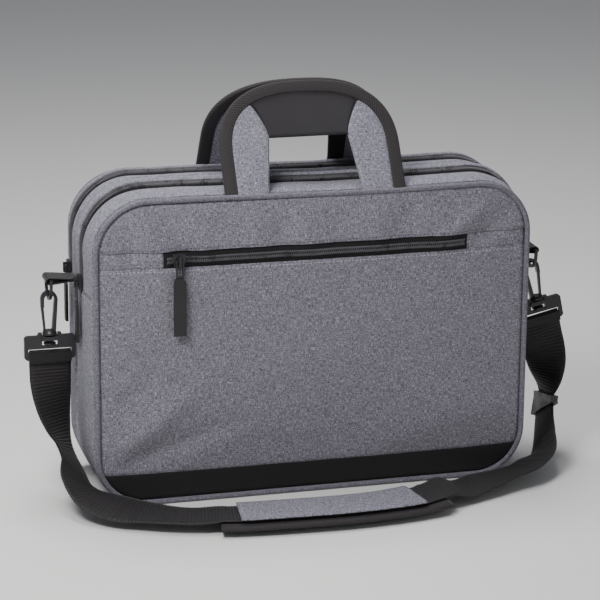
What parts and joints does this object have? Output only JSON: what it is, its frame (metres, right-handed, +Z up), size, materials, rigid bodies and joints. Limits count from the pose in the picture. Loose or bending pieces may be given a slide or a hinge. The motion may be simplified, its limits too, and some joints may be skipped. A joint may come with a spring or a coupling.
{
  "type": "messenger bag",
  "caption": "Zipped laptop messenger bag with two compartments, a front zip pocket, twin arch handles and a padded hook-on shoulder strap.",
  "frame": {"origin": "on the ground under the middle of the bag", "axes": "+X along the bag's width to the viewer's right, -Y the front with the zip pocket, +Z up"},
  "size_m": [0.5119, 0.233, 0.3693],
  "materials": {
    "grey_canvas": "heather grey polyester canvas, woven, matt",
    "black_webbing": "ribbed black polypropylene webbing",
    "woven_binding": "black woven binding tape",
    "zip_tape": "black woven zip tape",
    "zip_coil": "black nylon coil",
    "lining": "black lining",
    "black_fabric": "black woven fabric",
    "pull_rubber": "soft black rubber",
    "black_plastic": "moulded black acetal, satin"
  },
  "bodies": {
    "root": {"front_piping_lower": "grey_canvas", "rear_piping_lower": "grey_canvas", "side_and_base_gusset": "grey_canvas", "middle_top_gusset": "grey_canvas", "front_zip_half_middle": "zip_tape", "rear_zip_half_middle": "zip_tape", "padded_divider": "lining", "front_base_strip": "black_fabric", "front_panel_lower": "grey_canvas", "rear_panel_lower": "grey_canvas", "pocket_lining": "lining", "left_ring_tab": "black_webbing", "right_ring_tab": "black_webbing", "left_strap_buckle": "black_plastic", "right_strap_buckle": "black_plastic", "left_strap_end": "black_webbing", "right_strap_end": "black_webbing", "shoulder_strap": "black_webbing", "shoulder_pad": "black_fabric", "shoulder_pad_cover": "grey_canvas", "strap_slider": "black_plastic"},
    "front_flap": {"front_piping_upper": "grey_canvas", "front_top_gusset": "grey_canvas", "front_zip_half_flap": "zip_tape", "front_panel_upper": "grey_canvas", "front_yoke": "grey_canvas", "pocket_zip_end_left": "grey_canvas", "pocket_zip_end_right": "grey_canvas", "pocket_zip_tape": "zip_tape", "pocket_zip_coil": "zip_coil"},
    "rear_flap": {"rear_piping_upper": "grey_canvas", "rear_top_gusset": "grey_canvas", "rear_zip_half_flap": "zip_tape", "rear_panel_upper": "grey_canvas"},
    "front_handle": {"front_handle_left_leg": "grey_canvas", "front_handle_right_leg": "grey_canvas", "front_handle_grip": "black_fabric", "front_handle_binding": "woven_binding"},
    "rear_handle": {"rear_handle_left_leg": "grey_canvas", "rear_handle_right_leg": "grey_canvas", "rear_handle_grip": "black_fabric", "rear_handle_binding": "woven_binding"},
    "pocket_slider": {"pocket_slider": "black_plastic"},
    "pocket_pull": {"pocket_ring": "black_plastic", "pocket_tab": "pull_rubber"},
    "front_zip_slider": {"front_zip_slider": "black_plastic"},
    "front_zip_pull": {"front_zip_ring": "black_plastic", "front_zip_tab": "pull_rubber"},
    "rear_zip_slider": {"rear_zip_slider": "black_plastic"},
    "rear_zip_pull": {"rear_zip_ring": "black_plastic", "rear_zip_tab": "pull_rubber"},
    "left_d_ring": {"left_d_ring": "black_plastic"},
    "left_snap_hook": {"left_snap_hook": "black_plastic"},
    "left_hook_gate": {"left_hook_gate": "black_plastic"},
    "right_d_ring": {"right_d_ring": "black_plastic"},
    "right_snap_hook": {"right_snap_hook": "black_plastic"},
    "right_hook_gate": {"right_hook_gate": "black_plastic"}
  },
  "joints": [
    {"name": "front_flap_fold", "type": "hinge", "parent": "root", "child": "front_flap", "pos_m": [0, -0.068, 0.168], "axis": [1, 0, 0], "range_deg": [0, 30]},
    {"name": "rear_flap_fold", "type": "hinge", "parent": "root", "child": "rear_flap", "pos_m": [0, 0.068, 0.168], "axis": [-1, 0, 0], "range_deg": [0, 30]},
    {"name": "front_handle_fold", "type": "hinge", "parent": "front_flap", "child": "front_handle", "pos_m": [0, -0.057, 0.282], "axis": [1, 0, 0], "range_deg": [0, 95]},
    {"name": "rear_handle_fold", "type": "hinge", "parent": "rear_flap", "child": "rear_handle", "pos_m": [0, 0.057, 0.282], "axis": [-1, 0, 0], "range_deg": [0, 95]},
    {"name": "pocket_zip_travel", "type": "slide", "parent": "front_flap", "child": "pocket_slider", "axis": [1, 0, 0], "range_m": [0, 0.255]},
    {"name": "pocket_pull_swing", "type": "hinge", "parent": "pocket_slider", "child": "pocket_pull", "pos_m": [-0.126, -0.07207, 0.2264], "axis": [1, 0, 0], "range_deg": [-80, 0]},
    {"name": "front_zip_travel", "type": "slide", "parent": "root", "child": "front_zip_slider", "axis": [0, 0, 1], "range_m": [0, 0.025]},
    {"name": "front_zip_pull_swing", "type": "hinge", "parent": "front_zip_slider", "child": "front_zip_pull", "pos_m": [-0.2074, -0.02, 0.1999], "axis": [0, 1, 0], "range_deg": [0, 60]},
    {"name": "rear_zip_travel", "type": "slide", "parent": "root", "child": "rear_zip_slider", "axis": [0, 0, 1], "range_m": [0, 0.025]},
    {"name": "rear_zip_pull_swing", "type": "hinge", "parent": "rear_zip_slider", "child": "rear_zip_pull", "pos_m": [-0.2074, 0.031, 0.1999], "axis": [0, 1, 0], "range_deg": [0, 60]},
    {"name": "left_d_ring_swing", "type": "hinge", "parent": "root", "child": "left_d_ring", "pos_m": [-0.2285, 0, 0.1978], "axis": [0, 1, 0], "range_deg": [-4, 4]},
    {"name": "left_hook_swivel", "type": "hinge", "parent": "root", "child": "left_snap_hook", "pos_m": [-0.2285, 0, 0.18], "axis": [0, 0, 1], "range_deg": [-15, 15]},
    {"name": "left_gate_spring", "type": "hinge", "parent": "left_snap_hook", "child": "left_hook_gate", "pos_m": [-0.2328, 0, 0.1517], "axis": [0, 1, 0], "range_deg": [0, 14], "stiffness_Nm_per_rad": 0.02},
    {"name": "right_d_ring_swing", "type": "hinge", "parent": "root", "child": "right_d_ring", "pos_m": [0.224, 0, 0.1978], "axis": [0, 1, 0], "range_deg": [-4, 4]},
    {"name": "right_hook_swivel", "type": "hinge", "parent": "root", "child": "right_snap_hook", "pos_m": [0.224, 0, 0.18], "axis": [-0.2079, 0, 0.9781], "range_deg": [-15, 15]},
    {"name": "right_gate_spring", "type": "hinge", "parent": "right_snap_hook", "child": "right_hook_gate", "pos_m": [0.23409, 0, 0.15321], "axis": [0, -1, 0], "range_deg": [0, 14], "stiffness_Nm_per_rad": 0.02}
  ]
}
